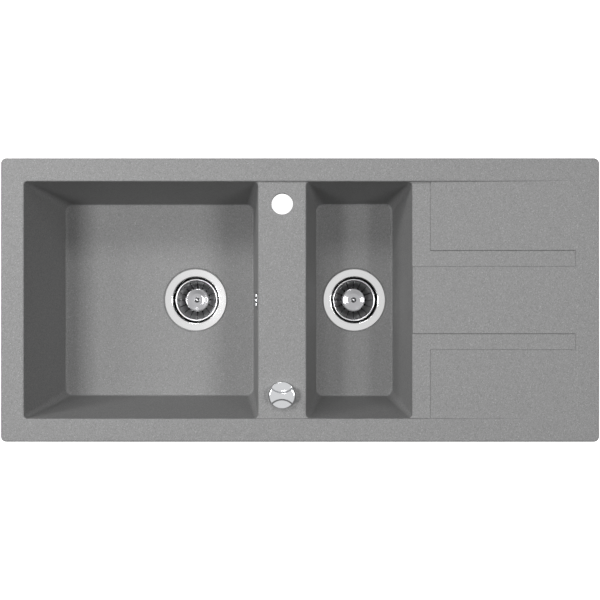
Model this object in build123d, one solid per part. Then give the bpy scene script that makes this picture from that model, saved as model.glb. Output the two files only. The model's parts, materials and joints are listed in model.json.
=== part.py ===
from build123d import *
from collections import namedtuple
from math import asin, atan, cos, degrees, radians, sin, sqrt, tan
import os

# Inset kitchen sink of granite composite: a large bowl, a half bowl, a tap ledge between them and a drainer.
# The origin is the middle of the rim's underside, which rests on the worktop.
# X runs along the sink to the drainer, Y to the back, Z up. Lengths are in millimetres, angles in degrees.

# Rim
rim_length = 970.0
rim_width = 460.0
rim_height = 10.0
rim_corner_radius = 9.0
rim_edge_radius = 3.5
border_width = 38.0
border_edge_radius = 2.5
seal_inset = 4.0
seal_width = 7.0
seal_height = 2.0
seal_clearance = 0.1
seal_least_corner = 1.0

# Ledge and drainer
ledge_width = 78.0
ledge_drop = 5.0
ledge_edge_radius = 2.5
deck_thickness = 11.0
drainer_end_drop = 0.3
middle_panel_width = 108.0
channel_width = 27.0
channel_depth = 2.5
channel_side_angle = 30.0
side_panel_setback = 29.5

# Bowls
large_bowl_length = 379.0
large_bowl_depth = 190.0
small_bowl_length = 173.0
small_bowl_depth = 185.0
wall_thickness = 9.0
floor_thickness = 10.0
wall_draft = 5.2
small_ledge_draft = 6.1
small_drainer_draft = 4.3
mouth_corner_radius = 6.0
floor_corner_radius = 14.0
floor_fillet = 4.0
shell_fillet = 14.0
large_drain_from_ledge = 123.6

# Holes in the ledge
tap_hole_radius = 17.5
tap_hole_from_back = 73.5
knob_hole_radius = 17.5
knob_from_front = 76.0

# Worktop clips
clip_from_edge = 19.0
clip_pitch = 320.0
boss_radius = 7.0
boss_height = 12.0
socket_radius = 4.0
socket_collar_radius = 6.5
socket_collar_height = 1.5
socket_depth = 16.0
clip_screw_radius = 2.5
clip_screw_head_radius = 4.75
clip_screw_head_height = 3.5
clip_screw_clearance = 0.3
clip_drop = 50.0
clip_arm_length = 34.0
clip_arm_width = 13.0
clip_arm_thickness = 2.5
clip_tip_height = 6.0
clip_tooth_depth = 1.5

# Flange, cup and gaskets of the wastes, with heights measured from the bowl floor
drain_hole_radius = 45.0
flange_radius = 56.0
flange_dish = 0.6
sheet_thickness = 1.2
seat_clearance = 1.5
seat_lead = 2.0
seat_depth = 2.0
upper_gasket_thickness = 1.2
lower_gasket_thickness = 3.0
gasket_radius = 55.0
gasket_clearance = 0.02
cup_radius = 42.0
cup_wall_depth = 30.0
cup_seat_radius = 31.0
cup_seat_fall = 8.0
cup_depth = 43.0
cup_hole_count = 8
cup_hole_radius = 5.0
cup_hole_circle = 19.0
flange_bend = 2.0
cup_wall_bend = 3.0
cup_seat_bend = 1.0
cup_floor_bend = 0.5

# Waste bodies
waste_radius = 46.0
waste_wall = 3.0
waste_flange_radius = 57.0
waste_flange_height = 4.0
outlet_radius = 23.9
outlet_length = 28.0
waste_cone_fall = 16.0
waste_shoulder_bend = 6.0
large_waste_depth = 78.0
small_waste_depth = 60.0
hub_radius = 10.0
hub_length = 14.0
rib_thickness = 4.0
rib_count = 3
rib_drop = 2.0
clamp_screw_radius = 5.0
clamp_head_radius = 8.5
clamp_head_height = 3.5
clamp_slot_width = 2.0
thread_clearance = 0.05

# Baskets
basket_rim_drop = 12.0
basket_rim_radius = 37.5
basket_rim_half_width = 1.7
basket_rim_half_height = 1.0
basket_shoulder_radius = 36.5
basket_shoulder_drop = 8.4
basket_shoulder_bend = 6.0
basket_floor_radius = 21.5
basket_floor_bend = 2.0
basket_height = 21.0
basket_sheet = 0.9
basket_slot_count = 16
basket_slot_width = 1.2
basket_slot_outer = 35.0
basket_hole_radius = 1.9
basket_hole_circle = 23.0
basket_knob_radius = 20.7
basket_knob_height = 13.0
basket_knob_edge = 3.0
basket_neck_radius = 9.0
basket_neck_bend = 3.0
basket_knob_undercut = 3.5
basket_knob_rim_round = 1.4
basket_dish_radius = 18.6
basket_dish_floor_radius = 11.5
basket_dish_depth = 1.4
basket_dish_bend = 12.0
stud_radius = 3.2
stud_foot_radius = 6.0
stud_nut_radius = 5.0
stud_nut_base = 0.6
basket_seal_thickness = 2.6
basket_seal_inset = 2.0
seal_lip_reach = 1.2
seal_lip_width = 0.8
seal_lip_height = 1.2
basket_lift_room = 0.3

# Pop-up mechanism of the large bowl
lift_travel = 10.0
lift_pin_radius = 3.0
running_clearance = 0.08
lift_pin_gap = 0.2
shaft_offset = 22.0
shaft_depth = 68.0
shaft_radius = 3.0
lift_arm_tip_radius = 4.0
lift_arm_bar_radius = 2.5
lift_arm_hub_radius = 6.0
lift_arm_width = 8.0
shaft_inner_end = 7.0
shaft_boss_radius = 8.0
shaft_boss_shoulder_radius = 10.5
shaft_boss_end = 58.0
shaft_boss_shoulder = 50.0
shaft_seal_radius = 5.5
shaft_seal_length = 3.0
crank_length = 18.0
crank_plane = 66.0
crank_plate = 2.0
crank_gap = 4.0
crank_width = 12.0
nipple_radius = 2.5
nipple_clearance = 0.3
nipple_rise = 0.8

# Bowden cable
sheath_radius = 3.0
sheath_bore = 1.0
wire_radius = 0.75
wire_overlap = 12.0
sheath_lead = 15.0
sheath_bend_at_waste = 55.0
ferrule_radius = 4.0
ferrule_flange_radius = 5.5
ferrule_flange = 2.0
ferrule_length = 14.0
ferrule_stop = 6.0
ferrule_clearance = 0.04
bracket_thickness = 2.0
bracket_reach = 36.0
bracket_tab_height = 16.0
bracket_rim = 5.0

# Control knob, with heights measured from the ledge
knob_radius = 21.5
knob_height = 22.0
knob_floor = 8.0
knob_scoop_radius = 24.0
knob_waist = 9.6
knob_scoop_hollow = 4.0
knob_grip_round = 0.8
knob_gap = 0.6
knob_turn = 90.0
knob_top_round = 2.6
collar_radius = 20.5
collar_height = 2.0
collar_round = 0.8
collar_sleeve_radius = 16.6
collar_sleeve_depth = 27.0
collar_clearance = 0.3
knob_gasket_thickness = 1.0
back_nut_radius = 24.0
back_nut_height = 8.0
back_nut_notches = 8
back_nut_notch_radius = 3.0
back_nut_web = 2.0
housing_radius = 20.5
housing_wall = 3.0
housing_round = 3.0
housing_gap = 1.0
housing_height = 30.0
spindle_radius = 5.0
spindle_grip = 9.0
drive_disc_radius = 9.0
drive_disc_height = 3.0
drive_cap_lip = 1.5
drive_pin_radius = 2.5
drive_pin_clearance = 0.35
slider_width = 22.0
slider_length = 14.0
slider_height = 4.0
slider_round = 3.0
port_radius = 6.5
port_length = 12.0
grub_screw_radius = 2.0
grub_screw_length = 10.0
grub_socket_radius = 1.2
grub_socket_depth = 3.0

# Overflow of the large bowl
overflow_depth = 47.0
overflow_hole_radius = 11.0
overflow_cover_radius = 16.0
overflow_disc_thickness = 1.0
overflow_cover_thickness = 2.8
overflow_bar_pitch = 7.5
overflow_bar_width = 3.6
overflow_bar_round = 1.2
overflow_slot_width = 3.2
overflow_slot_height = 17.0
overflow_side_slot_height = 9.0
overflow_boss_radius = 4.2
overflow_screw_radius = 2.5
overflow_screw_head_radius = 3.4
overflow_screw_head_height = 0.9
overflow_drive_width = 1.0
overflow_drive_depth = 0.6
overflow_screw_boss = 4.5
overflow_gasket_radius = 17.0
overflow_gasket_thickness = 2.0
elbow_radius = 15.0
elbow_wall = 3.0
elbow_length = 34.0
elbow_round = 4.0
spigot_radius = 9.5
spigot_wall = 2.0
spigot_length = 20.0
spigot_collar_radius = 13.0
spigot_collar_length = 10.0
port_depth = 36.0
pipe_radius = 11.5
pipe_clearance = 0.1
pipe_bend = 45.0
pipe_nut_radius = 15.5
pipe_nut_length = 14.0
pipe_nut_grips = 12
pipe_nut_grip_radius = 1.5
pipe_nut_collar = 3.0

# Heights and places that follow from the sizes above
inner_left = border_width - rim_length / 2
inner_right = rim_length / 2 - border_width
inner_half = rim_width / 2 - border_width
ledge_top = rim_height - ledge_drop
ledge_bottom = ledge_top - deck_thickness
inside_rim = rim_height / 4
cut_room = 5.0

Bowl = namedtuple("Bowl", "left right floor left_draft right_draft rounds_left rounds_right")
large_right = inner_left + large_bowl_length
small_left = large_right + ledge_width
large_bowl = Bowl(inner_left, large_right, rim_height - large_bowl_depth, wall_draft, wall_draft, 0, 1)
small_bowl = Bowl(small_left, small_left + small_bowl_length, rim_height - small_bowl_depth,
                  small_ledge_draft, small_drainer_draft, 1, 1)

ledge_middle = (large_bowl.right + small_bowl.left) / 2
tap_hole_y = rim_width / 2 - tap_hole_from_back
knob_y = knob_from_front - rim_width / 2
drainer_start = small_bowl.right + ledge_edge_radius
drainer_slope = (ledge_drop - drainer_end_drop) / (inner_right - drainer_start)

flange_under = upper_gasket_thickness - seat_depth
flange_top = flange_under + sheet_thickness
waste_top = -floor_thickness - lower_gasket_thickness
cup_bottom = -cup_depth - sheet_thickness
basket_floor = -basket_rim_drop - basket_height
stud_seat = basket_floor + basket_knob_height - basket_dish_depth
seal_bottom = basket_floor - basket_sheet - basket_seal_thickness
clamp_head_top = clamp_head_height - cup_depth
stud_foot = clamp_head_top + basket_lift_room
lift_pin_top = stud_foot - lift_pin_gap

lift_swing = degrees(asin(lift_travel / 2 / shaft_offset))
cable_travel = 2 * crank_length * sin(radians(lift_swing))
cable_height = crank_length * (1 + cos(radians(lift_swing))) / 2 - shaft_depth
drive_offset = cable_travel / 2 / sin(radians(knob_turn / 2))
ferrule_at_waste = shaft_offset + bracket_reach

knob_recess = knob_gasket_thickness + collar_height + collar_clearance
grub_height = (knob_recess + knob_floor) / 2
housing_top = -deck_thickness - back_nut_height - housing_gap
cavity_top = -collar_sleeve_depth
drive_disc_top = cavity_top - housing_gap
slider_top = drive_disc_top - drive_disc_height - housing_gap
slider_middle = slider_top - slider_height / 2
ferrule_at_knob = housing_radius + port_length


# Small helpers

def ring(outer, inner, low, high):
    size = dict(height=high - low, align=(Align.CENTER, Align.CENTER, Align.MIN))
    solid = Pos(0, 0, low) * Cylinder(outer, **size)
    if inner > 0:
        solid -= Pos(0, 0, low) * Cylinder(inner, **size)
    return solid


def turned(points, radii=0.0):
    outline = FilletPolyline(*points, radius=radii, close=True)
    return revolve(Plane.XZ * make_face(outline), Axis.Z)


def pressed(points, radii, thickness):
    line = FilletPolyline(*points, radius=radii)
    wall = offset(line, amount=thickness, side=Side.LEFT)
    return revolve(Plane.XZ * make_face(wall), Axis.Z)


def around(count, start=0.0):
    return [Rot(0, 0, start + 360 * i / count) for i in range(count)]


def rod(radius, start, end):
    axis = Vector(*end) - Vector(*start)
    return extrude(Plane(origin=start, z_dir=axis) * Circle(radius), amount=axis.length)


def rounded(left, right, half_width, radius, z):
    return Pos((left + right) / 2, 0, z) * RectangleRounded(right - left, 2 * half_width, radius)


def inner_outline(z, grow=0.0):
    return rounded(inner_left - grow, inner_right + grow, inner_half + grow, mouth_corner_radius + grow, z)


# The cast sink

def bowl_section(bowl, z, grow=0.0, edge=0.0):
    fall = ledge_top - z
    left = bowl.left + fall * tan(radians(bowl.left_draft)) - grow - edge * bowl.rounds_left
    right = bowl.right - fall * tan(radians(bowl.right_draft)) + grow + edge * bowl.rounds_right
    half_width = inner_half - fall * tan(radians(wall_draft)) + grow
    share = fall / (ledge_top - bowl.floor)
    radius = mouth_corner_radius + share * (floor_corner_radius - mouth_corner_radius)
    return rounded(left, right, half_width, radius + grow, z)


def quarter_round(radius):
    steps = [radians(angle) for angle in (0, 22.5, 45, 67.5, 90)]
    return [(radius * sin(a) - radius, radius - radius * cos(a)) for a in steps]


def bowl_void(bowl):
    lip = ledge_top - ledge_edge_radius
    body = loft([bowl_section(bowl, lip), bowl_section(bowl, bowl.floor)], ruled=True)
    return fillet(body.edges().group_by(Axis.Z)[0], floor_fillet)


def bowl_mouth(bowl):
    sections = [bowl_section(bowl, ledge_top + z, edge=x) for z, x in quarter_round(ledge_edge_radius)]
    return loft(sections, ruled=True)


def bowl_shell(bowl):
    top = bowl_section(bowl, ledge_top, wall_thickness)
    bottom = bowl_section(bowl, bowl.floor - floor_thickness, wall_thickness)
    shell = loft([top, bottom], ruled=True)
    return fillet(shell.edges().group_by(Axis.Z)[0], shell_fillet)


def border():
    outside = rounded(-rim_length / 2, rim_length / 2, rim_width / 2, rim_corner_radius, 0)
    frame = fillet(extrude(outside, rim_height).edges().group_by(Axis.Z)[-1], rim_edge_radius)
    frame -= extrude(inner_outline(0), rim_height)
    mouth = frame.faces().sort_by(Axis.Z)[-1].inner_wires()[0]
    return fillet(mouth.edges(), border_edge_radius)


def drainer_height(x):
    return ledge_top + (x - drainer_start) * drainer_slope


def drainer_wedge():
    end = inner_right + border_edge_radius / 2
    side = Polygon((drainer_start, ledge_top), (drainer_start, inside_rim), (end, inside_rim),
                   (end, drainer_height(end)), align=None)
    return extrude(Plane.XZ * side, amount=inner_half + border_edge_radius / 2, both=True)


def drainer_channels():
    tilt = atan(drainer_slope)
    panels = Plane(origin=(drainer_start, 0, ledge_top), x_dir=(cos(tilt), 0, sin(tilt)),
                   z_dir=(-sin(tilt), 0, cos(tilt)))
    slant = channel_depth * tan(radians(channel_side_angle))
    near = middle_panel_width / 2 + slant
    far = middle_panel_width / 2 + channel_width - slant
    setback = small_bowl.right + side_panel_setback - slant - drainer_start
    end = inner_right - drainer_start - slant
    outside = inner_half + cut_room
    start = -ledge_edge_radius - cut_room
    corner = Polygon((start, near), (end, near), (end, far), (setback, far), (setback, outside),
                     (start, outside), align=None)
    floor = panels.offset(-channel_depth) * corner
    channel = extrude(floor, amount=2 * channel_depth, taper=-channel_side_angle)
    inside = extrude(inner_outline(ledge_bottom), amount=2 * rim_height)
    channel = channel & inside
    return channel + mirror(channel, about=Plane.XZ)


def clip_places():
    x = rim_length / 2 - clip_from_edge
    y = rim_width / 2 - clip_from_edge
    places = {}
    for name, along in (("left", -clip_pitch), ("middle", 0.0), ("right", clip_pitch)):
        places["back_" + name] = (along, y, 0.0)
        places["front_" + name] = (along, -y, 0.0)
    places["end_left"] = (-x, 0.0, 90.0)
    places["end_right"] = (x, 0.0, 90.0)
    return places


def drain_places():
    small_middle = (bowl_section(small_bowl, small_bowl.floor)).center().X
    return (large_bowl, large_bowl.right - large_drain_from_ledge), (small_bowl, small_middle)


def drain_cut():
    seat_radius = flange_radius + seat_clearance
    seat = ring(seat_radius, 0, -seat_depth, cut_room)
    lead = turned([(0, -seat_depth), (seat_radius, -seat_depth), (seat_radius + seat_lead, 0), (0, 0)])
    return seat + lead + ring(drain_hole_radius, 0, -floor_thickness - cut_room, 0)


def overflow_plane():
    tilt = radians(large_bowl.right_draft)
    x = large_bowl.right - (overflow_depth - ledge_drop) * tan(tilt)
    inward = (-cos(tilt), 0, sin(tilt))
    return Plane(origin=(x, 0, rim_height - overflow_depth), x_dir=(0, 1, 0), z_dir=inward)


def seal_outline(inset, z):
    return rounded(inset - rim_length / 2, rim_length / 2 - inset, rim_width / 2 - inset,
                   max(rim_corner_radius - inset, seal_least_corner), z)


def seal_ring(grow):
    outside = extrude(seal_outline(seal_inset - grow, 0), seal_height)
    return outside - extrude(seal_outline(seal_inset + seal_width + grow, 0), seal_height)


def sink_body():
    half_width = inner_half + wall_thickness
    deck = rounded(large_bowl.right, inner_right + wall_thickness, half_width,
                   mouth_corner_radius + wall_thickness, ledge_bottom)
    body = border() + extrude(deck, deck_thickness)
    body += bowl_shell(large_bowl)
    body += bowl_shell(small_bowl)
    body += drainer_wedge()
    body -= drainer_channels()
    for bowl in (large_bowl, small_bowl):
        body = body - bowl_void(bowl) - bowl_mouth(bowl)
    for x, y, _ in clip_places().values():
        body += Pos(x, y, 0) * ring(boss_radius, 0, -boss_height, inside_rim)
        body -= Pos(x, y, 0) * ring(socket_radius, 0, -boss_height, socket_depth - boss_height)
    for bowl, x in drain_places():
        body -= Pos(x, 0, bowl.floor) * drain_cut()
    body -= Pos(ledge_middle, tap_hole_y, 0) * ring(tap_hole_radius, 0, ledge_bottom, rim_height)
    body -= Pos(ledge_middle, knob_y, 0) * ring(knob_hole_radius, 0, ledge_bottom, rim_height)
    body -= overflow_plane() * ring(overflow_hole_radius, 0, -2 * wall_thickness, wall_thickness)
    return body - seal_ring(0.0)


def rim_seal():
    return seal_ring(-seal_clearance)


# Worktop clips

def clip_sockets():
    solids = []
    for x, y, _ in clip_places().values():
        sleeve = ring(socket_radius, clip_screw_radius, -boss_height, socket_depth - boss_height)
        low = -boss_height - socket_collar_height
        collar = ring(socket_collar_radius, clip_screw_radius, low, -boss_height)
        solids.append(Pos(x, y, 0) * (sleeve + collar))
    return Compound(children=solids)


def clip_screws():
    solids = []
    for x, y, _ in clip_places().values():
        shank = ring(clip_screw_radius, 0, -clip_drop, socket_depth - boss_height - clip_screw_radius)
        head = ring(clip_screw_head_radius, 0, -clip_drop - clip_screw_head_height, -clip_drop)
        head = fillet(head.edges().group_by(Axis.Z)[0], clip_screw_head_height / 3)
        drive = Pos(0, 0, -clip_drop - clip_screw_head_height) * extrude(
            RegularPolygon(clip_screw_radius, 6), amount=clip_screw_head_height / 2)
        solids.append(Pos(x, y, 0) * (shank + head - drive))
    return Compound(children=solids)


def clip_arm():
    end = clip_arm_width / 2
    tip = clip_arm_length - clip_arm_thickness
    top = clip_arm_thickness
    side = FilletPolyline((-end, 0), (clip_arm_length, 0), (clip_arm_length, top + clip_tip_height),
                          (tip, top + clip_tip_height), (tip, top), (-end, top),
                          radius=[0, 2 * clip_arm_thickness, 0, 0, clip_arm_thickness, 0], close=True)
    arm = extrude(Plane.XZ * make_face(side), amount=end, both=True)
    rounding = Rectangle(clip_arm_length, clip_arm_width, align=(Align.MIN, Align.CENTER)) + Circle(end)
    arm = arm & extrude(rounding, top + clip_tip_height)
    arm -= ring(clip_screw_radius + clip_screw_clearance, 0, 0, top)
    pitch = clip_arm_width / 4
    for step in (-1, 0, 1):
        tooth = Pos(clip_arm_length, step * pitch, top + clip_tip_height) * Rot(45, 0, 0)
        arm -= tooth * Box(2 * cut_room, clip_tooth_depth, clip_tooth_depth)
    return Pos(0, 0, -clip_drop) * arm


# Flange, gaskets, waste body and clamping screw of one waste

def flange():
    mouth = [(flange_radius, flange_top), (cup_radius, flange_top - flange_dish),
             (cup_radius, -cup_wall_depth), (cup_seat_radius, -cup_wall_depth - cup_seat_fall),
             (cup_seat_radius, -cup_depth),
             (clamp_screw_radius + thread_clearance, -cup_depth)]
    body = pressed(mouth, [flange_bend, cup_wall_bend, cup_seat_bend, cup_floor_bend], sheet_thickness)
    for turn in around(cup_hole_count):
        body -= turn * Pos(cup_hole_circle, 0, 0) * ring(cup_hole_radius, 0, cup_bottom, -cup_depth)
    return body


def upper_gasket():
    dish = flange_dish / (flange_radius - cup_radius)
    inner = drain_hole_radius + seat_clearance
    tops = [flange_under - (flange_radius - r) * dish - gasket_clearance for r in (gasket_radius, inner)]
    return turned([(inner, -seat_depth), (gasket_radius, -seat_depth), (gasket_radius, tops[0]),
                   (inner, tops[1])])


def lower_gasket():
    return ring(gasket_radius, drain_hole_radius + seat_clearance, waste_top, -floor_thickness)


def waste_shell(depth):
    outlet_bore = outlet_radius - waste_wall
    cone_end = -depth - waste_cone_fall
    line = [(waste_radius, waste_top), (waste_radius, -depth), (outlet_bore, cone_end),
            (outlet_bore, cone_end - outlet_length)]
    shell = pressed(line, [waste_shoulder_bend, 0.0], waste_wall)
    return shell + ring(waste_flange_radius, waste_radius, waste_top - waste_flange_height, waste_top)


def hub_and_ribs():
    hub = ring(hub_radius, 0, cup_bottom - hub_length, cup_bottom)
    length = waste_radius + waste_wall / 2
    rib = Box(length, rib_thickness, hub_length - rib_drop, align=(Align.MIN, Align.CENTER, Align.MIN))
    rib = Pos(0, 0, cup_bottom - hub_length) * rib
    for turn in around(rib_count, 60):
        hub += turn * rib
    return hub - ring(clamp_screw_radius + thread_clearance, 0, cup_bottom - hub_length, cup_bottom)


def waste_body(depth):
    return waste_shell(depth) + hub_and_ribs()


def large_waste_body():
    body = waste_shell(large_waste_depth)
    inside = ring(waste_radius, 0, -large_waste_depth, waste_top)
    outside = shaft_boss_shoulder
    boss = rod(shaft_boss_shoulder_radius, (shaft_offset, 0, -shaft_depth),
               (shaft_offset, -outside, -shaft_depth))
    boss += rod(shaft_boss_radius, (shaft_offset, -outside, -shaft_depth),
                (shaft_offset, -shaft_boss_end, -shaft_depth))
    shoulder = waste_radius + waste_wall + spigot_collar_length
    port = rod(spigot_collar_radius, (0, 0, -port_depth), (shoulder, 0, -port_depth))
    port += rod(spigot_radius, (shoulder, 0, -port_depth), (shoulder + spigot_length, 0, -port_depth))
    body += (boss + port) - inside
    body -= rod(spigot_radius - spigot_wall, (waste_radius - waste_wall, 0, -port_depth),
                (shoulder + spigot_length, 0, -port_depth))
    body -= rod(shaft_radius + running_clearance, (shaft_offset, 0, -shaft_depth),
                (shaft_offset, -shaft_boss_end, -shaft_depth))
    body -= rod(shaft_seal_radius, (shaft_offset, shaft_seal_length - shaft_boss_end, -shaft_depth),
                (shaft_offset, -shaft_boss_end, -shaft_depth))
    return body + hub_and_ribs()


def clamp_screw(bore):
    head = ring(clamp_head_radius, bore, -cup_depth, clamp_head_top)
    head = fillet(head.edges().group_by(Axis.Z)[-1].sort_by(SortBy.RADIUS)[-1:], clamp_head_height / 3)
    shank = ring(clamp_screw_radius, bore, cup_bottom - hub_length, -cup_depth)
    slot = Pos(0, 0, clamp_head_top) * Box(3 * clamp_head_radius, clamp_slot_width, clamp_head_height)
    return head + shank - slot


# Basket, its grip, stud and seal

def basket_cup():
    rim = -basket_rim_drop - basket_rim_half_height
    wall = [(basket_rim_radius, rim), (basket_shoulder_radius, rim - basket_shoulder_drop),
            (basket_floor_radius, basket_floor), (stud_radius, basket_floor)]
    body = pressed(wall, [basket_shoulder_bend, basket_floor_bend], basket_sheet)
    length = basket_slot_outer - basket_hole_circle
    slit = Pos(basket_hole_circle + length / 2, 0) * SlotOverall(length, basket_slot_width)
    slot = extrude(slit + Pos(basket_hole_circle, 0) * Circle(basket_hole_radius), basket_height)
    slot = Pos(0, 0, basket_floor - basket_height / 2) * slot
    for turn in around(basket_slot_count):
        body -= turn * slot
    rolled = Pos(basket_rim_radius, rim) * Ellipse(basket_rim_half_width, basket_rim_half_height)
    return body + revolve(Plane.XZ * rolled, Axis.Z)


def basket_knob():
    top = basket_floor + basket_knob_height
    under = top - basket_knob_edge
    outline = [(stud_radius, basket_floor), (basket_neck_radius, basket_floor),
               (basket_neck_radius, under - basket_knob_undercut), (basket_knob_radius, under),
               (basket_knob_radius, top), (basket_dish_radius, top),
               (basket_dish_floor_radius, stud_seat), (stud_radius, stud_seat)]
    rounds = [0, 0, basket_neck_bend, basket_knob_rim_round, basket_knob_rim_round, 0, basket_dish_bend, 0]
    return turned(outline, rounds)


def basket_stud():
    shank = ring(stud_radius, 0, seal_bottom, stud_seat)
    foot = ring(stud_foot_radius, 0, stud_foot, seal_bottom)
    dome = Sphere(stud_nut_radius) & ring(stud_nut_radius, 0, 0, stud_nut_radius)
    nut = ring(stud_nut_radius, 0, 0, stud_nut_base) + Pos(0, 0, stud_nut_base) * dome
    return shank + foot + Pos(0, 0, stud_seat) * nut


def basket_seal():
    top = basket_floor - basket_sheet
    lip_radius = cup_seat_radius + seal_lip_reach
    seat = -cup_wall_depth - cup_seat_fall * (cup_radius - lip_radius) / (cup_radius - cup_seat_radius)
    lip = seat + basket_lift_room * sqrt(1 + (cup_seat_fall / (cup_radius - cup_seat_radius)) ** 2)
    disc_radius = basket_floor_radius - basket_seal_inset
    outline = [(stud_radius, seal_bottom), (disc_radius, seal_bottom), (lip_radius, lip),
               (lip_radius - seal_lip_width, lip + seal_lip_height), (disc_radius, top), (stud_radius, top)]
    return turned(outline)


# Pop-up mechanism, in the frame of the large waste

def lift_pin():
    bottom = lift_arm_tip_radius + basket_lift_room - shaft_depth - lift_travel / 2
    pin = ring(lift_pin_radius, 0, bottom, lift_pin_top)
    return fillet(pin.edges().group_by(Axis.Z)[0], lift_pin_radius / 3)


def at_rest(solid):
    return solid.rotate(Axis((shaft_offset, 0, -shaft_depth), (0, 1, 0)), -lift_swing)


def lift_arm():
    hub = Pos(shaft_offset, -shaft_depth)
    tip = Pos(0, -shaft_depth)
    bar_end = Circle(lift_arm_bar_radius)
    bar = make_hull((hub * bar_end).edges() + (tip * bar_end).edges())
    outline = bar + hub * Circle(lift_arm_hub_radius) + tip * Circle(lift_arm_tip_radius)
    outline -= hub * Circle(shaft_radius)
    return at_rest(extrude(Plane.XZ * outline, amount=lift_arm_width / 2, both=True))


def trip_shaft():
    outer = crank_plane + crank_gap / 2 + crank_plate
    return rod(shaft_radius, (shaft_offset, -outer - crank_plate, -shaft_depth),
               (shaft_offset, shaft_inner_end, -shaft_depth))


def shaft_seal():
    solid = rod(shaft_seal_radius, (0, shaft_seal_length - shaft_boss_end, 0), (0, -shaft_boss_end, 0))
    solid -= rod(shaft_radius + running_clearance, (0, 0, 0), (0, -shaft_boss_end, 0))
    return Pos(shaft_offset, 0, -shaft_depth) * solid


def crank():
    hub = Circle(crank_width / 2)
    eye = Pos(0, crank_length) * Circle(crank_width / 2)
    slot = Pos(0, crank_length) * Rot(0, 0, 90) * SlotOverall(
        2 * (nipple_radius + nipple_clearance + nipple_rise), 2 * (nipple_radius + nipple_clearance))
    cheek = make_hull(hub.edges() + eye.edges()) - slot
    inner = crank_plane - crank_gap / 2
    outer = crank_plane + crank_gap / 2
    body = extrude(Plane.XZ.offset(outer) * cheek, crank_plate)
    body += extrude(Plane.XZ.offset(inner - crank_plate) * cheek, crank_plate)
    body += extrude(Plane.XZ.offset(shaft_boss_end + nipple_clearance) * hub, outer - shaft_boss_end)
    body -= rod(shaft_radius, (0, 0, 0), (0, -2 * outer, 0))
    return at_rest(Pos(shaft_offset, 0, -shaft_depth) * body)


def cable_bracket():
    height = cable_height + shaft_depth
    boss = Circle(shaft_boss_radius + bracket_rim)
    tab = Pos(bracket_reach - bracket_rim, height) * Rectangle(2 * bracket_rim, bracket_tab_height)
    plate = make_hull(boss.edges() + tab.edges()) - Circle(shaft_boss_radius + ferrule_clearance)
    body = extrude(Plane.XZ.offset(shaft_boss_shoulder) * plate, bracket_thickness)
    depth = crank_plane + ferrule_flange_radius + bracket_rim - shaft_boss_shoulder
    flap = Box(bracket_thickness, depth, bracket_tab_height, align=(Align.MAX, Align.MAX, Align.CENTER))
    body += Pos(bracket_reach, -shaft_boss_shoulder, height) * flap
    body -= rod(ferrule_radius + ferrule_clearance, (0, -crank_plane, height),
                (2 * bracket_reach, -crank_plane, height))
    return Pos(shaft_offset, 0, -shaft_depth) * body


def ferrule():
    body = ring(ferrule_radius, sheath_bore, 0, ferrule_length)
    body += ring(ferrule_flange_radius, ferrule_radius, ferrule_stop, ferrule_stop + ferrule_flange)
    return body - ring(sheath_radius + ferrule_clearance, 0, ferrule_stop, ferrule_length)


def waste_ferrule():
    start = ferrule_at_waste - ferrule_stop
    return Pos(start, -crank_plane, cable_height) * Rot(0, 90, 0) * ferrule()


def knob_ferrule():
    start = ferrule_at_knob - ferrule_stop
    return Pos(0, start, slider_middle) * Rot(-90, 0, 0) * ferrule()


def cable_end():
    x = shaft_offset - crank_length * sin(radians(lift_swing))
    reach = crank_gap / 2 + crank_plate + nipple_clearance
    nipple = rod(nipple_radius, (x, -crank_plane - reach, cable_height),
                 (x, reach - crank_plane, cable_height))
    wire = rod(wire_radius, (x, -crank_plane, cable_height),
               (ferrule_at_waste + wire_overlap, -crank_plane, cable_height))
    return nipple + wire


# Control knob and what it drives, in the frame of the knob hole at ledge height

def control_knob():
    body = ring(knob_radius, 0, knob_gap, knob_height)
    body = fillet(body.edges().group_by(Axis.Z)[-1], knob_top_round)
    scoop = ring(knob_scoop_radius, 0, knob_floor, 2 * knob_height)
    scoop = fillet(scoop.edges().group_by(Axis.Z)[0], knob_scoop_hollow)
    for side in (-1, 1):
        body -= Pos(0, side * (knob_scoop_radius + knob_waist / 2), 0) * scoop
    grip = body.faces().sort_by(Axis.Z)[-1].edges().filter_by(GeomType.CIRCLE)
    body = fillet([edge for edge in grip if edge.radius > knob_radius], knob_grip_round)
    body -= ring(collar_radius + collar_clearance, 0, knob_gap, knob_recess)
    body -= ring(spindle_radius, 0, knob_recess, knob_recess + spindle_grip)
    return body - rod(grub_screw_radius, (0, 0, grub_height), (0, knob_radius, grub_height))


def grub_screw():
    end = spindle_radius + grub_screw_length
    body = rod(grub_screw_radius, (0, 0, grub_height), (0, end, grub_height))
    body -= ring(spindle_radius, 0, knob_recess, knob_recess + spindle_grip)
    socket = Plane(origin=(0, end, grub_height), z_dir=(0, -1, 0)) * RegularPolygon(grub_socket_radius, 6)
    return body - extrude(socket, grub_socket_depth)


def knob_gasket():
    return ring(collar_radius, knob_hole_radius, 0, knob_gasket_thickness)


def knob_collar():
    body = ring(collar_radius, 0, knob_gasket_thickness, knob_gasket_thickness + collar_height)
    body = fillet(body.edges().group_by(Axis.Z)[-1], collar_round)
    body += ring(collar_sleeve_radius, 0, -collar_sleeve_depth, knob_gasket_thickness)
    return body - ring(spindle_radius + running_clearance, 0, -collar_sleeve_depth, knob_height)


def knob_back_nut():
    low = -deck_thickness - back_nut_height
    body = ring(back_nut_radius, collar_sleeve_radius + thread_clearance, low, -deck_thickness)
    notch = ring(back_nut_notch_radius, 0, low, -deck_thickness - back_nut_web)
    for turn in around(back_nut_notches):
        body -= turn * Pos(back_nut_radius, 0, 0) * notch
    return body


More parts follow.
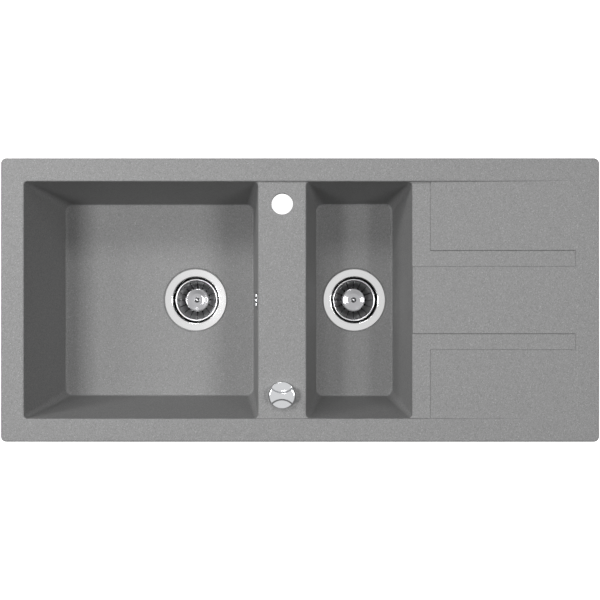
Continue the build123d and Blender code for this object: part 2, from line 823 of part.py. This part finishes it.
def knob_housing():
    low = housing_top - housing_height
    body = ring(housing_radius, 0, low, housing_top)
    body = fillet(body.edges().group_by(Axis.Z)[0], housing_round)
    end = housing_radius + port_length
    body += rod(port_radius, (0, 0, slider_middle), (0, end, slider_middle))
    body -= ring(housing_radius - housing_wall, 0, low + housing_wall, cavity_top)
    body -= ring(collar_sleeve_radius + thread_clearance, 0, cavity_top, housing_top)
    body -= rod(sheath_bore, (0, 0, slider_middle), (0, end, slider_middle))
    start = ferrule_at_knob - ferrule_stop
    return body - rod(ferrule_radius + ferrule_clearance, (0, start, slider_middle), (0, end, slider_middle))


def knob_spindle():
    return ring(spindle_radius, 0, drive_disc_top - drive_disc_height, knob_recess + spindle_grip)


def drive_crank():
    low = drive_disc_top - drive_disc_height
    disc = ring(drive_disc_radius, spindle_radius, low, drive_disc_top)
    angle = radians(180 - knob_turn / 2)
    pin = ring(drive_pin_radius, 0, slider_top - slider_height - housing_gap / 2, low)
    place = Pos(drive_offset * cos(angle), drive_offset * sin(angle), 0)
    cap = ring(spindle_radius + drive_cap_lip, 0, low - housing_gap / 2, low)
    return disc + cap + place * pin


def cable_slider():
    y = cable_travel / 2
    far = drive_offset
    near = drive_offset * cos(radians(knob_turn / 2))
    plate = Pos(0, y) * RectangleRounded(slider_width, slider_length, slider_round)
    room = drive_pin_radius + drive_pin_clearance
    plate -= Pos(-(far + near) / 2, y) * SlotOverall(far - near + 2 * room, 2 * room)
    body = extrude(plate, slider_height)
    body = Pos(0, 0, slider_top - slider_height) * body
    return body + rod(wire_radius, (0, y + slider_length / 4, slider_middle),
                      (0, ferrule_at_knob + wire_overlap, slider_middle))


def cable_sheath(waste_x, waste_z):
    lower = waste_z + cable_height
    upper = ledge_top + slider_middle
    points = [(ledge_middle, knob_y + ferrule_at_knob, upper), (ledge_middle, -crank_plane, upper),
              (ledge_middle, -crank_plane, lower), (waste_x + ferrule_at_waste, -crank_plane, lower)]
    bend_at_knob = -crank_plane - knob_y - ferrule_at_knob - sheath_lead
    path = FilletPolyline(*points, radius=[bend_at_knob, sheath_bend_at_waste])
    section = Plane(origin=points[0], z_dir=(0, 1, 0)) * (Circle(sheath_radius) - Circle(sheath_bore))
    return sweep(section, path=path)


# Overflow: cover, screw and gasket in the frame of the bowl wall, elbow and pipe in the sink's frame

wall_through = wall_thickness * cos(radians(wall_draft))
elbow_start = -wall_through - overflow_gasket_thickness


def overflow_bar(place):
    reach = sqrt(overflow_cover_radius ** 2 - (abs(place) + overflow_bar_width / 2) ** 2)
    upward = (Align.CENTER, Align.CENTER, Align.MIN)
    bar = Box(overflow_bar_width, 2 * reach, overflow_cover_thickness, align=upward)
    return Pos(place, 0, 0) * fillet(bar.edges().group_by(Axis.Z)[-1], overflow_bar_round)


def overflow_cover():
    edge = overflow_cover_thickness
    body = ring(overflow_cover_radius, 0, 0, overflow_disc_thickness)
    slots = Sketch()
    for height, places in ((overflow_slot_height, (-0.5, 0.5)), (overflow_side_slot_height, (-1.5, 1.5))):
        for place in places:
            slot = Rot(0, 0, 90) * SlotOverall(height, overflow_slot_width)
            slots += Pos(place * overflow_bar_pitch, 0) * slot
    body -= extrude(slots, amount=edge)
    for step in (-1, 0, 1):
        body += overflow_bar(step * overflow_bar_pitch)
    body += ring(overflow_boss_radius, 0, 0, edge)
    return body - ring(overflow_screw_radius, 0, 0, edge)


def overflow_screw():
    edge = overflow_cover_thickness
    head = ring(overflow_screw_head_radius, 0, edge, edge + overflow_screw_head_height)
    head = fillet(head.edges().group_by(Axis.Z)[-1], overflow_screw_head_height / 2)
    drive = Box(3 * overflow_screw_head_radius, overflow_drive_width, 2 * overflow_drive_depth)
    head -= Pos(0, 0, edge + overflow_screw_head_height) * drive
    return head + ring(overflow_screw_radius, 0, elbow_start - elbow_length / 2, edge)


def overflow_gasket():
    return ring(overflow_gasket_radius, overflow_hole_radius, elbow_start, -wall_through)


def spigot_axis():
    wall = overflow_plane()
    return wall.origin + wall.z_dir * (elbow_start - elbow_length / 2)


def pipe_top():
    return spigot_axis().Z - elbow_radius - spigot_collar_length


def overflow_elbow():
    low = elbow_start - elbow_length
    middle = spigot_axis()
    cup = ring(elbow_radius, 0, low, elbow_start)
    cup = fillet(cup.edges().group_by(Axis.Z)[0], elbow_round)
    cup += ring(overflow_gasket_radius, 0, elbow_start - elbow_wall, elbow_start)
    body = overflow_plane() * cup
    drop = pipe_top()
    x = middle.X
    body += rod(spigot_collar_radius, (x, 0, middle.Z), (x, 0, drop))
    body += rod(spigot_radius, (x, 0, drop), (x, 0, drop - spigot_length))
    cavity = ring(elbow_radius - elbow_wall, 0, low + elbow_wall, elbow_start)
    cavity -= ring(overflow_screw_boss, 0, low, elbow_start - elbow_length / 3)
    body -= overflow_plane() * cavity
    body -= overflow_plane() * ring(overflow_screw_radius, 0, elbow_start - elbow_length / 2, elbow_start)
    bore = rod(spigot_radius - spigot_wall, (x, 0, middle.Z), (x, 0, drop - spigot_length))
    return body - (bore - overflow_plane() * ring(overflow_screw_boss, 0, low, elbow_start))


def pipe_end(waste_x):
    return waste_x + waste_radius + waste_wall + spigot_collar_length


def overflow_pipe(waste_x, waste_z):
    x = spigot_axis().X
    points = [(x, 0, pipe_top()), (x, 0, waste_z - port_depth), (pipe_end(waste_x), 0, waste_z - port_depth)]
    path = FilletPolyline(*points, radius=[pipe_bend])
    wall = Circle(pipe_radius) - Circle(spigot_radius + pipe_clearance)
    return sweep(Plane(origin=points[0], z_dir=(0, 0, -1)) * wall, path=path)


def pipe_nut():
    body = ring(pipe_nut_radius, pipe_radius + pipe_clearance, 0, pipe_nut_length)
    grip = ring(pipe_nut_grip_radius, 0, pipe_nut_collar, pipe_nut_length)
    for turn in around(pipe_nut_grips):
        body -= turn * Pos(pipe_nut_radius, 0, 0) * grip
    return body


def pipe_nuts(waste_x, waste_z):
    top = Pos(spigot_axis().X, 0, pipe_top()) * Rot(180, 0, 0) * pipe_nut()
    side = Pos(pipe_end(waste_x), 0, waste_z - port_depth) * Rot(0, 90, 0) * pipe_nut()
    return Compound(children=[top, side])


# All nodes in the sink's frame

def waste_nodes(prefix, place, body, bore):
    pieces = {"flange": flange(), "upper_gasket": upper_gasket(), "lower_gasket": lower_gasket(),
              "waste_body": body, "clamp_screw": clamp_screw(bore), "basket_cup": basket_cup(),
              "basket_knob": basket_knob(), "basket_stud": basket_stud(), "basket_seal": basket_seal()}
    return {prefix + "_" + name: place * solid for name, solid in pieces.items()}


def build_nodes():
    (_, large_x), (_, small_x) = drain_places()
    large_z = large_bowl.floor
    large_waste = Pos(large_x, 0, large_z)
    small_waste = Pos(small_x, 0, small_bowl.floor)
    knob = Pos(ledge_middle, knob_y, ledge_top)
    wall = overflow_plane()
    nodes = {"sink_body": sink_body(), "rim_seal": rim_seal(), "clip_sockets": clip_sockets(),
             "clip_screws": clip_screws()}
    for name, (x, y, turn) in clip_places().items():
        nodes["clip_arm_" + name] = Pos(x, y, 0) * Rot(0, 0, turn) * clip_arm()
    nodes.update(waste_nodes("large", large_waste, large_waste_body(), lift_pin_radius + running_clearance))
    nodes.update(waste_nodes("small", small_waste, waste_body(small_waste_depth), 0))
    for name, solid in (("lift_pin", lift_pin()), ("lift_arm", lift_arm()), ("trip_shaft", trip_shaft()),
                        ("shaft_seal", shaft_seal()), ("trip_crank", crank()),
                        ("cable_bracket", cable_bracket()), ("cable_end", cable_end())):
        nodes[name] = large_waste * solid
    for name, solid in (("control_knob", control_knob()), ("grub_screw", grub_screw()),
                        ("knob_gasket", knob_gasket()), ("knob_collar", knob_collar()),
                        ("knob_back_nut", knob_back_nut()), ("knob_housing", knob_housing()),
                        ("knob_spindle", knob_spindle()), ("drive_crank", drive_crank()),
                        ("cable_slider", cable_slider())):
        nodes[name] = knob * solid
    nodes["cable_ferrules"] = Compound(children=[large_waste * waste_ferrule(), knob * knob_ferrule()])
    nodes["cable_sheath"] = cable_sheath(large_x, large_z)
    for name, solid in (("overflow_cover", overflow_cover()), ("overflow_screw", overflow_screw()),
                        ("overflow_gasket", overflow_gasket())):
        nodes[name] = wall * solid
    nodes["overflow_elbow"] = overflow_elbow()
    nodes["overflow_pipe"] = overflow_pipe(large_x, large_z)
    nodes["overflow_nuts"] = pipe_nuts(large_x, large_z)
    return nodes


def main():
    os.makedirs("parts", exist_ok=True)
    for name, solid in build_nodes().items():
        export_step(solid, f"parts/{name}.step")
        print(name, round(solid.volume))


if __name__ == "__main__":
    main()
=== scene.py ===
import bpy
import json
from math import radians
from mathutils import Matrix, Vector


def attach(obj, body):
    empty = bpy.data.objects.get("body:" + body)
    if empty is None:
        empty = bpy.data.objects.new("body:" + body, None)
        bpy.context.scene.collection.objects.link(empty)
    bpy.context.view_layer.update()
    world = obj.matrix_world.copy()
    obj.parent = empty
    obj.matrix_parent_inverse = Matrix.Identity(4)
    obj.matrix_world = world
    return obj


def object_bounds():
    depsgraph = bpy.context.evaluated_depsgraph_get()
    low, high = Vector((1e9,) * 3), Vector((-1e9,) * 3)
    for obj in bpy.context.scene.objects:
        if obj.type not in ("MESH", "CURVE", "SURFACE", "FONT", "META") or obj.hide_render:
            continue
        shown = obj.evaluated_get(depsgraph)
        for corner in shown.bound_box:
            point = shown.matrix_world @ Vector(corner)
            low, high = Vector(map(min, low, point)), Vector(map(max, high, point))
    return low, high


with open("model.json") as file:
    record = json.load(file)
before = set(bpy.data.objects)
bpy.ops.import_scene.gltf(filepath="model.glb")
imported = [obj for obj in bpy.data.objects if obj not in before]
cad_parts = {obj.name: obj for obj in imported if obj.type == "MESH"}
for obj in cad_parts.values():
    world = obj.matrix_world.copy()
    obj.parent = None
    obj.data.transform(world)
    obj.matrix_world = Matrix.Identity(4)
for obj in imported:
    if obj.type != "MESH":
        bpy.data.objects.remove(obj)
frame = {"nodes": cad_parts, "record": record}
nodes = frame["nodes"]
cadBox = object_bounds()
print("frame loaded:", len(nodes), "nodes")

mm = 0.001
wastes = {"large": (-191.6, 0.0), "small": (99.35, 0.0)}  # drain centres in mm, seen from above


def linear(hexText):
    values = [int(hexText[i:i + 2], 16) / 255 for i in (0, 2, 4)]
    return [v / 12.92 if v <= 0.04045 else ((v + 0.055) / 1.055) ** 2.4 for v in values] + [1.0]


def newMaterial(name, look):
    material = bpy.data.materials.new(name)
    material.use_nodes = True
    shader = material.node_tree.nodes["Principled BSDF"]
    for socket, value in look.items():
        shader.inputs[socket].default_value = linear(value) if isinstance(value, str) else value
    return material, shader


# inputs go by socket name, or as in0, in1 and so on by number
def addNode(material, kind, settings=None, **inputs):
    node = material.node_tree.nodes.new("ShaderNode" + kind)
    for name, value in (settings or {}).items():
        setattr(node, name, value)
    for name, value in inputs.items():
        socket = node.inputs[int(name[2:]) if name.startswith("in") and name[2:].isdigit() else name]
        if isinstance(value, bpy.types.NodeSocket):
            material.node_tree.links.new(value, socket)
        else:
            socket.default_value = value
    return node


def feed(material, shader, **links):
    for name, socket in links.items():
        material.node_tree.links.new(socket, shader.inputs[name.replace("_", " ")])


# granite composite: quartz sand in acrylic, cast in a mould, so a satin skin with fine pale and dark grains on top;
# the underside was against the other half of the mould and is duller and rougher
granite = {
    "colour": "8e8e8e", "dark": "808080", "light": "9c9c9c", "flakeTone": "b2b2b2",
    "grain": 1.1, "flake": 2.6, "fine": 0.45,  # mm
    "darkEnd": 0.15, "plain": (0.38, 0.66), "lightStart": 0.85,  # where the grains' tones change
    "flakeFrom": 0.86, "flakeFull": 0.9,  # only the highest cells hold a pale flake
    "flakeRim": 0.3, "flakeHeart": 0.2,
    "gloss": 0.1, "satin": 0.6, "matt": 0.85, "roughSpread": 0.16,
    "sideways": -0.1, "downwards": -0.4,  # how far a face looks down before it counts as the underside
    "skin": 0.18, "underSkin": 0.9, "skinDepth": 0.05,
}


def graniteComposite(look):
    material, shader = newMaterial("graniteComposite", {"Specular IOR Level": look["gloss"]})
    place = addNode(material, "TexCoord").outputs["Object"]
    cells = addNode(material, "TexVoronoi", Vector=place, Scale=1 / (look["grain"] * mm))
    tone = addNode(material, "ValToRGB", Fac=cells.outputs["Color"])
    stops = tone.color_ramp.elements
    stops[0].position, stops[0].color = look["darkEnd"], linear(look["dark"])
    stops[1].position, stops[1].color = look["lightStart"], linear(look["light"])
    for position in look["plain"]:
        stops.new(position).color = linear(look["colour"])
    flakes = addNode(material, "TexVoronoi", Vector=place, Scale=1 / (look["flake"] * mm))
    few = addNode(material, "MapRange", Value=flakes.outputs["Color"],
                  **{"From Min": look["flakeFrom"], "From Max": look["flakeFull"]})
    near = addNode(material, "MapRange", Value=flakes.outputs["Distance"],
                   **{"From Min": look["flakeRim"], "From Max": look["flakeHeart"]})
    flake = addNode(material, "Math", {"operation": "MULTIPLY"}, in0=few.outputs["Result"], in1=near.outputs["Result"])
    colour = addNode(material, "MixRGB", Fac=flake.outputs["Value"], Color1=tone.outputs["Color"],
                     Color2=linear(look["flakeTone"]))
    fine = addNode(material, "TexNoise", Vector=place, Scale=1 / (look["fine"] * mm), Detail=2.0)
    facing = addNode(material, "NewGeometry")
    upDown = addNode(material, "SeparateXYZ", Vector=facing.outputs["Normal"])
    below = addNode(material, "MapRange", Value=upDown.outputs["Z"],
                    **{"From Min": look["sideways"], "From Max": look["downwards"]})
    base = addNode(material, "MapRange", Value=below.outputs["Result"],
                   **{"To Min": look["satin"], "To Max": look["matt"]})
    rough = addNode(material, "Math", {"operation": "MULTIPLY_ADD"}, in0=fine.outputs["Fac"], in1=look["roughSpread"],
                    in2=base.outputs["Result"])
    rough = addNode(material, "Math", {"operation": "SUBTRACT"}, in0=rough.outputs["Value"],
                    in1=look["roughSpread"] / 2)
    depth = addNode(material, "MapRange", Value=below.outputs["Result"],
                    **{"To Min": look["skin"], "To Max": look["underSkin"]})
    skin = addNode(material, "Bump", Height=fine.outputs["Fac"], Strength=depth.outputs["Result"],
                   Distance=look["skinDepth"] * mm)
    feed(material, shader, Base_Color=colour.outputs["Color"], Normal=skin.outputs["Normal"],
         Roughness=rough.outputs["Value"])
    return material


# stainless steel, spun and polished: bright, with faint rings round the middle of its waste
spunSteel = {"colour": "d4d4d4", "ringPitch": 0.35, "smooth": 0.08, "dull": 0.14, "marks": 0.06, "markDepth": 0.02}


def spunStainless(name, centre, look):
    material, shader = newMaterial(name, {"Base Color": look["colour"], "Metallic": 1.0})
    place = addNode(material, "TexCoord").outputs["Object"]
    flat = addNode(material, "Mapping", Vector=place, Location=(-centre[0] * mm, -centre[1] * mm, 0), Scale=(1, 1, 0))
    radius = addNode(material, "VectorMath", {"operation": "LENGTH"}, in0=flat.outputs["Vector"])
    rings = addNode(material, "TexNoise", {"noise_dimensions": "1D"}, W=radius.outputs["Value"],
                    Scale=1 / (look["ringPitch"] * mm), Detail=3.0)
    rough = addNode(material, "MapRange", Value=rings.outputs["Fac"],
                    **{"To Min": look["smooth"], "To Max": look["dull"]})
    marks = addNode(material, "Bump", Height=rings.outputs["Fac"], Strength=look["marks"],
                    Distance=look["markDepth"] * mm)
    feed(material, shader, Roughness=rough.outputs["Result"], Normal=marks.outputs["Normal"])
    return material


skinStrength = 0.3  # how strongly a moulded skin's bumps show


# patch is the size of the clouds in mm, spread their change of roughness and bump the skin's depth in mm
def cloudedMaterial(name, look, patch, spread, bump=0.0):
    material, shader = newMaterial(name, look)
    place = addNode(material, "TexCoord").outputs["Object"]
    cloud = addNode(material, "TexNoise", Vector=place, Scale=1 / (patch * mm), Detail=4.0)
    rough = addNode(material, "MapRange", Value=cloud.outputs["Fac"],
                    **{"To Min": look["Roughness"] - spread, "To Max": look["Roughness"] + spread})
    feed(material, shader, Roughness=rough.outputs["Result"])
    if bump > 0:
        skin = addNode(material, "Bump", Height=cloud.outputs["Fac"], Strength=skinStrength, Distance=bump * mm)
        feed(material, shader, Normal=skin.outputs["Normal"])
    return material


def cloudedMetal(name, colour, roughness, patch, spread):
    return cloudedMaterial(name, {"Base Color": colour, "Metallic": 1.0, "Roughness": roughness}, patch, spread)


def mouldedSkin(name, colour, roughness, patch, spread, bump):
    return cloudedMaterial(name, {"Base Color": colour, "Roughness": roughness}, patch, spread, bump)


finish = {
    "granite": graniteComposite(granite),
    "largeSteel": spunStainless("spunStainlessLarge", wastes["large"], spunSteel),
    "smallSteel": spunStainless("spunStainlessSmall", wastes["small"], spunSteel),
    # pressed and tumbled baskets: satin, darker than the polished flange
    "basket": cloudedMetal("tumbledStainless", "b8b8b9", 0.32, 2.0, 0.06),
    # cast grips, mechanically polished: sharp reflections with faint wiping marks
    "polished": cloudedMetal("polishedStainless", "acacae", 0.1, 6.0, 0.04),
    # chrome plate on zinc or brass: mirror bright and slightly blue
    "chrome": cloudedMetal("chromePlate", "d0d1d3", 0.08, 8.0, 0.03),
    # moulded nitrile rubber: dull black with a dusty skin
    "rubber": mouldedSkin("nitrileRubber", "232323", 0.72, 1.5, 0.12, 0.03),
    # injection moulded polypropylene: off-white, waxy satin
    "whitePlastic": mouldedSkin("whitePolypropylene", "dedcd6", 0.42, 1.2, 0.1, 0.03),
    # glass-filled nylon: black with a fine moulded grain
    "blackPlastic": mouldedSkin("blackNylon", "2a2a2b", 0.5, 0.8, 0.12, 0.04),
    # zinc plated steel: pale grey with cloudy spangle
    "zinc": cloudedMetal("zincPlate", "b9bcbd", 0.36, 3.0, 0.12),
    # turned stainless rod: bright, with a fine tool mark
    "bright": cloudedMetal("turnedStainless", "cfcfd0", 0.24, 0.6, 0.08),
    # turned brass: yellow and a little duller
    "brass": cloudedMetal("turnedBrass", "d3b36c", 0.28, 0.6, 0.08),
    # extruded PVC jacket of the cable: black with a soft shine
    "jacket": mouldedSkin("blackPvc", "1f1f20", 0.46, 1.0, 0.08, 0.02),
}

slotFinish = {"granite": "granite", "strainer_steel": "basket", "polished_steel": "polished", "chrome": "chrome",
              "rubber": "rubber", "waste_plastic": "whitePlastic", "control_plastic": "blackPlastic",
              "zinc_steel": "zinc", "bright_steel": "bright", "brass": "brass", "cable_jacket": "jacket"}
for entry in frame["record"]["subparts"]:
    name, slot = entry["node"], entry["material_slot"]
    key = name.split("_")[0] + "Steel" if name.endswith("_flange") else slotFinish[slot]
    nodes[name].material_slots[0].material = finish[key]
print("finishes set")

# threads, one ridge wound round each shank and set a little into it; lengths and places in mm follow the model
threads = {
    "clipThread": {"radius": 2.5, "ridge": 0.42, "pitch": 0.8, "low": -47.0, "high": -14.0, "steps": 16,
                   "slot": "zinc_steel", "finish": "zinc",
                   "places": [(-320, 211), (0, 211), (320, 211), (-320, -211), (0, -211), (320, -211),
                              (-466, 0), (466, 0)]},
    "largeOutletThread": {"radius": 23.9, "ridge": 0.7, "pitch": 2.31, "low": -300.0, "high": -279.0, "steps": 72,
                          "slot": "waste_plastic", "finish": "whitePlastic", "places": [wastes["large"]]},
    "smallOutletThread": {"radius": 23.9, "ridge": 0.7, "pitch": 2.31, "low": -277.0, "high": -256.0, "steps": 72,
                          "slot": "waste_plastic", "finish": "whitePlastic", "places": [wastes["small"]]},
}
ridgeSunk = 0.45  # share of the ridge's size by which it stands inside the shank's radius


def windThread(name, look, place):
    bpy.ops.object.select_all(action="DESELECT")
    bpy.ops.mesh.primitive_circle_add(vertices=3, radius=look["ridge"] * mm, location=(0, 0, 0))
    ridge = bpy.context.object
    ridge.name = name
    bpy.ops.object.mode_set(mode="EDIT")
    bpy.ops.mesh.select_all(action="SELECT")
    bpy.ops.transform.rotate(value=radians(-90), orient_axis="Z", center_override=(0, 0, 0))
    bpy.ops.transform.rotate(value=radians(90), orient_axis="X", center_override=(0, 0, 0))
    bpy.ops.transform.translate(value=((look["radius"] - look["ridge"] * ridgeSunk) * mm, 0, 0))
    bpy.ops.object.mode_set(mode="OBJECT")
    wind = ridge.modifiers.new("wind", "SCREW")
    wind.screw_offset = look["pitch"] * mm
    wind.iterations = int((look["high"] - look["low"]) / look["pitch"])
    wind.steps = wind.render_steps = look["steps"]
    wind.use_smooth_shade = False
    bpy.ops.object.modifier_apply(modifier="wind")
    bpy.ops.object.mode_set(mode="EDIT")
    bpy.ops.mesh.select_all(action="DESELECT")
    bpy.ops.mesh.select_mode(type="EDGE")
    bpy.ops.mesh.select_non_manifold()  # the two open ends
    bpy.ops.mesh.fill()
    bpy.ops.mesh.select_all(action="SELECT")
    bpy.ops.mesh.normals_make_consistent(inside=False)
    bpy.ops.object.mode_set(mode="OBJECT")
    ridge.location = (place[0] * mm, place[1] * mm, look["low"] * mm)
    bpy.ops.object.transform_apply(location=True, rotation=True, scale=True)
    ridge.data.materials.append(finish[look["finish"]])
    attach(ridge, "sink")


for name, look in threads.items():
    for number, place in enumerate(look["places"], 1):
        windThread(f"{name}{number}", look, place)
print("threads wound:", sum(len(look["places"]) for look in threads.values()))

# pale floor under the wastes: white to the camera, still dimmed a little by the sink's shadow;
# its bounce lights the underside
floorLook = {"size": 6.0, "below": 2 * mm, "colour": "ececec", "roughness": 0.9, "glow": 0.8, "bounce": 0.3}
bpy.ops.object.select_all(action="DESELECT")
bpy.ops.mesh.primitive_plane_add(size=floorLook["size"], location=(0, 0, cadBox[0].z - floorLook["below"]))
floor = bpy.context.object
floor.name = "floor"
floorMaterial, floorShader = newMaterial("paleFloor", {
    "Base Color": floorLook["colour"], "Roughness": floorLook["roughness"], "Emission Color": "ffffff"})
rays = addNode(floorMaterial, "LightPath").outputs
seen = addNode(floorMaterial, "Math", {"operation": "MAXIMUM"}, in0=rays["Is Camera Ray"], in1=rays["Is Glossy Ray"])
seen = addNode(floorMaterial, "Math", {"operation": "MAXIMUM"}, in0=seen.outputs["Value"],
               in1=rays["Is Transmission Ray"])
glow = addNode(floorMaterial, "Mix", in0=seen.outputs["Value"], in2=floorLook["bounce"], in3=floorLook["glow"])
feed(floorMaterial, floorShader, Emission_Strength=glow.outputs[0])
clear = addNode(floorMaterial, "BsdfTransparent")
side = addNode(floorMaterial, "NewGeometry")  # seen from below, the floor is open
mix = addNode(floorMaterial, "MixShader", in0=side.outputs["Backfacing"], in1=floorShader.outputs["BSDF"],
              in2=clear.outputs["BSDF"])
feed(floorMaterial, floorMaterial.node_tree.nodes["Material Output"], Surface=mix.outputs["Shader"])
floor.data.materials.append(floorMaterial)

# a studio with a bright ceiling and back wall and a dim front: polished metal mirrors it, the camera sees plain white
skyLook = {"ambient": 0.02, "seen": 1.0, "ceiling": 1.0, "walls": 0.2, "dim": 0.05, "bright": 0.72,
           "brightest": Vector((0.3, 0.8, 1.0)).normalized()}
world = bpy.data.worlds.new("studio")
bpy.context.scene.world = world
world.use_nodes = True
sky = world.node_tree.nodes["Background"]
sky.inputs["Color"].default_value = linear("ffffff")
rays = addNode(world, "LightPath").outputs
toward = addNode(world, "VectorMath", {"operation": "DOT_PRODUCT"}, in0=addNode(world, "TexCoord").outputs["Generated"],
                 in1=skyLook["brightest"])
studio = addNode(world, "MapRange", {"interpolation_type": "SMOOTHSTEP"}, Value=toward.outputs["Value"],
                 **{"From Min": skyLook["dim"], "From Max": skyLook["bright"],
                    "To Min": skyLook["walls"], "To Max": skyLook["ceiling"]})
mirrored = addNode(world, "Math", {"operation": "MAXIMUM"}, in0=rays["Is Glossy Ray"], in1=rays["Is Transmission Ray"])
light = addNode(world, "Mix", in0=mirrored.outputs["Value"], in2=skyLook["ambient"], in3=studio.outputs["Result"])
seen = addNode(world, "Mix", in0=rays["Is Camera Ray"], in2=light.outputs[0], in3=skyLook["seen"])
feed(world, sky, Strength=seen.outputs[0])

# soft lamps in metres and watts, all aimed at the middle of the rim
lamps = {
    "left": {"place": (-1.2, 0.0, 2.6), "size": 0.6, "power": 40.5},
    "right": {"place": (1.2, 0.0, 2.6), "size": 0.6, "power": 31.0},
    "back": {"place": (-0.4, 1.6, 2.6), "size": 0.6, "power": 22.0},
    "lowLeft": {"place": (-1.15, 0.6, 0.9), "size": 0.4, "power": 5.2},
}
for name, lamp in lamps.items():
    bpy.ops.object.light_add(type="AREA", location=lamp["place"])
    light = bpy.context.object
    light.name = name
    light.data.size = lamp["size"]
    light.data.energy = lamp["power"]
    light.rotation_euler = (-Vector(lamp["place"])).to_track_quat("-Z", "Y").to_euler()

# straight above the middle of the rim, as in the photograph
cameraLook = {"height": 1411 * mm, "lens": 51.95, "sensor": 36.0}
bpy.ops.object.camera_add(location=(0, 0, cameraLook["height"]), rotation=(0, 0, 0))
camera = bpy.context.object
camera.data.lens = cameraLook["lens"]
camera.data.sensor_width = cameraLook["sensor"]
bpy.context.scene.camera = camera
bpy.context.scene.view_settings.view_transform = "Standard"
print("stage, lamps and camera set")
